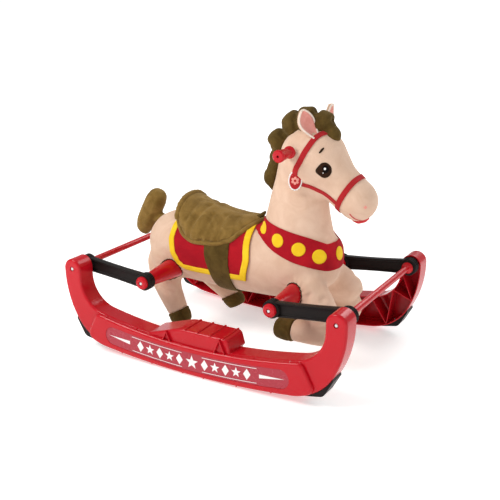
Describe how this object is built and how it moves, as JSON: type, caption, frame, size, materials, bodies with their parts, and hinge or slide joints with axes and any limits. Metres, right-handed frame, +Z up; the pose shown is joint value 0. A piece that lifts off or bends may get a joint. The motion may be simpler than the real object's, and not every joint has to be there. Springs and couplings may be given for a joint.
{
  "type": "rocking horse",
  "caption": "Plush rocking horse hung on elastic arms between two moulded plastic rocker rails, with footrests, hand grips and a padded saddle.",
  "frame": {"origin": "on the floor below the middle of the rails, which is also the bottom centre of the box", "axes": "+X towards the horse's head, +Y to the horse's left, +Z up"},
  "size_m": [0.92, 0.606, 0.7327],
  "materials": {
    "red_plastic": "gloss",
    "red_tube": "gloss",
    "black_rubber": "satin",
    "grey_plastic": "matte",
    "screw_steel": "satin",
    "axle_steel": "satin",
    "frame_steel": "satin",
    "plywood": "matte",
    "label_film": "gloss",
    "peach_plush": "matte",
    "brown_plush": "matte",
    "red_cloth": "matte",
    "red_webbing": "matte",
    "pink_felt": "matte",
    "eye_plastic": "gloss",
    "badge_print": "matte"
  },
  "bodies": {
    "base": {"rocker_front_right": "red_plastic", "rocker_front_left": "red_plastic", "rocker_rear_right": "red_plastic", "rocker_rear_left": "red_plastic", "rubber_stops": "black_rubber", "front_crossbar": "red_tube", "rear_crossbar": "red_tube", "crossbar_plugs": "grey_plastic", "tower_screws": "screw_steel", "seam_screws": "screw_steel", "stop_screws": "screw_steel", "label_right": "label_film", "label_left": "label_film"},
    "arm_front_right": {"arm_front_right": "black_rubber"},
    "arm_front_left": {"arm_front_left": "black_rubber"},
    "arm_rear_right": {"arm_rear_right": "black_rubber"},
    "arm_rear_left": {"arm_rear_left": "black_rubber"},
    "horse": {"front_axle": "axle_steel", "rear_axle": "axle_steel", "peg_front_right": "red_plastic", "peg_front_left": "red_plastic", "peg_rear_right": "red_plastic", "peg_rear_left": "red_plastic", "end_caps": "red_plastic", "axle_plugs": "grey_plastic", "cap_screws": "screw_steel", "spine_beam": "frame_steel", "seat_board": "plywood", "seat_post_front": "frame_steel", "seat_post_rear": "frame_steel", "board_screws": "screw_steel", "neck_post": "frame_steel", "handle_rod": "frame_steel", "grip_right": "red_plastic", "grip_left": "red_plastic", "body_plush": "peach_plush", "head_plush": "peach_plush", "rear_leg_right": "peach_plush", "rear_hoof_right": "brown_plush", "rear_leg_left": "peach_plush", "rear_hoof_left": "brown_plush", "front_leg_right": "peach_plush", "front_hoof_right": "brown_plush", "front_leg_left": "peach_plush", "front_hoof_left": "brown_plush", "saddle_cloth": "red_cloth", "saddle": "brown_plush", "girth_strap": "brown_plush", "collar": "red_cloth", "mane": "brown_plush", "tail": "brown_plush", "ear_right": "peach_plush", "ear_left": "peach_plush", "eye_right": "eye_plastic", "eye_left": "eye_plastic", "badge_right": "badge_print", "badge_left": "badge_print", "lip": "pink_felt", "bridle": "red_webbing"}
  },
  "joints": [
    {"name": "bounce", "type": "slide", "parent": "base", "child": "horse", "axis": [0, 0, 1], "range_m": [-0.03, 0.012], "stiffness_N_per_m": 8000, "springref_m": 0.011, "deforming": ["arm_front_right", "arm_front_left", "arm_rear_right", "arm_rear_left"]},
    {"name": "swing_front_right", "type": "hinge", "parent": "base", "child": "arm_front_right", "pos_m": [0.43, -0.22, 0.242], "axis": [0, 1, 0], "range_deg": [-9, 5]},
    {"name": "swing_front_left", "type": "hinge", "parent": "base", "child": "arm_front_left", "pos_m": [0.43, 0.22, 0.242], "axis": [0, 1, 0], "range_deg": [-9, 5]},
    {"name": "swing_rear_right", "type": "hinge", "parent": "base", "child": "arm_rear_right", "pos_m": [-0.43, -0.22, 0.242], "axis": [0, 1, 0], "range_deg": [-5, 9]},
    {"name": "swing_rear_left", "type": "hinge", "parent": "base", "child": "arm_rear_left", "pos_m": [-0.43, 0.22, 0.242], "axis": [0, 1, 0], "range_deg": [-5, 9]}
  ],
  "couplings": [
    {"joint": "swing_front_right", "follows": "bounce", "rad_per_m": 4.5872},
    {"joint": "swing_front_left", "follows": "bounce", "rad_per_m": 4.5872},
    {"joint": "swing_rear_right", "follows": "bounce", "rad_per_m": -4.5872},
    {"joint": "swing_rear_left", "follows": "bounce", "rad_per_m": -4.5872}
  ]
}
